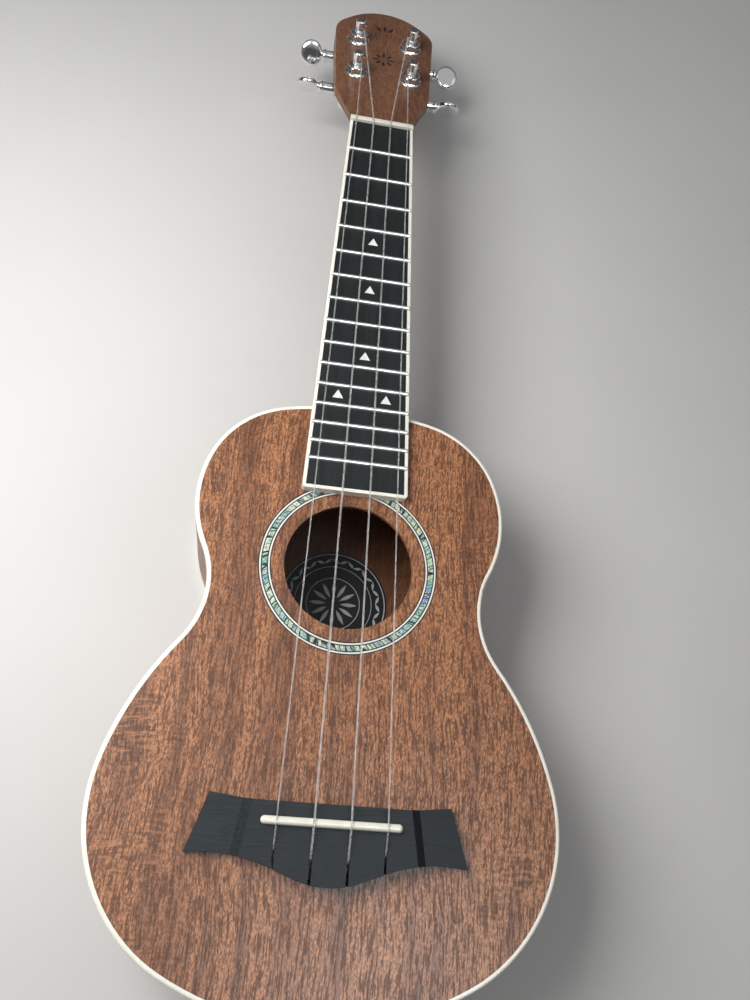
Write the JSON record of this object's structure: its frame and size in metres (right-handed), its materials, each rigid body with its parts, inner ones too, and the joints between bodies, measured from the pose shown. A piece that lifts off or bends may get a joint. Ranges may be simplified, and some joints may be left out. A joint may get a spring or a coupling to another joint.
{
  "type": "soprano ukulele",
  "caption": "Small four-string wooden lute with a bound figure-of-eight body, ringed sound hole, fretted neck, slotted bridge and geared tuners.",
  "frame": {"origin": "on the outer face of the back, on the centreline, straight below the saddle", "axes": "+Y along the strings towards the headstock, +Z out of the soundboard, +X across to the side of the highest-pitched string"},
  "size_m": [0.179, 0.5318, 0.0685],
  "materials": {
    "mahogany_top": "satin",
    "mahogany": "satin",
    "neck_wood": "satin",
    "inner_wood": "raw",
    "binding": "smooth",
    "purfling_white": "smooth",
    "purfling_black": "smooth",
    "abalone": "pearly",
    "blackened_wood": "oiled",
    "bridge_wood": "satin",
    "bone": "polished",
    "pearl": "pearly",
    "fret_metal": "polished",
    "nylon": "translucent",
    "label": "printed",
    "chrome": "polished",
    "brass": "machined",
    "steel": "machined"
  },
  "bodies": {
    "instrument": {"soundboard": "mahogany_top", "back_plate": "mahogany", "side_left": "mahogany", "side_right": "mahogany", "top_binding": "binding", "back_binding": "binding", "rosette_abalone": "abalone", "rosette_white": "purfling_white", "rosette_black": "purfling_black", "neck": "neck_wood", "headplate": "mahogany_top", "fretboard": "blackened_wood", "fretboard_binding": "binding", "nut": "bone", "frets": "fret_metal", "fret_markers": "pearl", "bridge": "bridge_wood", "saddle": "bone", "sound_hole_label": "label", "neck_block": "inner_wood", "tail_block": "inner_wood", "top_lining": "inner_wood", "back_lining": "inner_wood", "top_braces": "inner_wood", "back_braces": "inner_wood", "bridge_patch": "inner_wood", "neck_dowels": "inner_wood", "tuner_bushings": "chrome", "tuner_washers": "chrome", "tuner_screws": "chrome", "string_g": "nylon", "tuner_g_housing": "chrome", "string_c": "nylon", "tuner_c_housing": "chrome", "string_e": "nylon", "tuner_e_housing": "chrome", "string_a": "nylon", "tuner_a_housing": "chrome"},
    "tuner_g_button": {"tuner_g_button": "chrome", "tuner_g_worm": "steel"},
    "tuner_g_post": {"tuner_g_post": "chrome", "tuner_g_gear": "brass", "string_g_winding": "nylon"},
    "tuner_c_button": {"tuner_c_button": "chrome", "tuner_c_worm": "steel"},
    "tuner_c_post": {"tuner_c_post": "chrome", "tuner_c_gear": "brass", "string_c_winding": "nylon"},
    "tuner_e_button": {"tuner_e_button": "chrome", "tuner_e_worm": "steel"},
    "tuner_e_post": {"tuner_e_post": "chrome", "tuner_e_gear": "brass", "string_e_winding": "nylon"},
    "tuner_a_button": {"tuner_a_button": "chrome", "tuner_a_worm": "steel"},
    "tuner_a_post": {"tuner_a_post": "chrome", "tuner_a_gear": "brass", "string_a_winding": "nylon"}
  },
  "joints": [
    {"name": "tuner_g_button_turn", "type": "hinge", "parent": "instrument", "child": "tuner_g_button", "pos_m": [-0.0155, 0.40275, 0.03298], "axis": [1, 0, 0], "continuous": true},
    {"name": "tuner_g_post_turn", "type": "hinge", "parent": "instrument", "child": "tuner_g_post", "pos_m": [-0.0155, 0.39928, 0.05075], "axis": [0, 0.1736, 0.9848], "continuous": true},
    {"name": "tuner_c_button_turn", "type": "hinge", "parent": "instrument", "child": "tuner_c_button", "pos_m": [-0.0155, 0.43603, 0.02711], "axis": [1, 0, 0], "continuous": true},
    {"name": "tuner_c_post_turn", "type": "hinge", "parent": "instrument", "child": "tuner_c_post", "pos_m": [-0.0155, 0.43256, 0.04488], "axis": [0, 0.1736, 0.9848], "continuous": true},
    {"name": "tuner_e_button_turn", "type": "hinge", "parent": "instrument", "child": "tuner_e_button", "pos_m": [0.0155, 0.43603, 0.02711], "axis": [1, 0, 0], "continuous": true},
    {"name": "tuner_e_post_turn", "type": "hinge", "parent": "instrument", "child": "tuner_e_post", "pos_m": [0.0155, 0.43256, 0.04488], "axis": [0, 0.1736, 0.9848], "continuous": true},
    {"name": "tuner_a_button_turn", "type": "hinge", "parent": "instrument", "child": "tuner_a_button", "pos_m": [0.0155, 0.40275, 0.03298], "axis": [1, 0, 0], "continuous": true},
    {"name": "tuner_a_post_turn", "type": "hinge", "parent": "instrument", "child": "tuner_a_post", "pos_m": [0.0155, 0.39928, 0.05075], "axis": [0, 0.1736, 0.9848], "continuous": true}
  ],
  "couplings": [
    {"joint": "tuner_g_post_turn", "follows": "tuner_g_button_turn", "ratio": 0.0625},
    {"joint": "tuner_c_post_turn", "follows": "tuner_c_button_turn", "ratio": 0.0625},
    {"joint": "tuner_e_post_turn", "follows": "tuner_e_button_turn", "ratio": 0.0625},
    {"joint": "tuner_a_post_turn", "follows": "tuner_a_button_turn", "ratio": 0.0625}
  ]
}
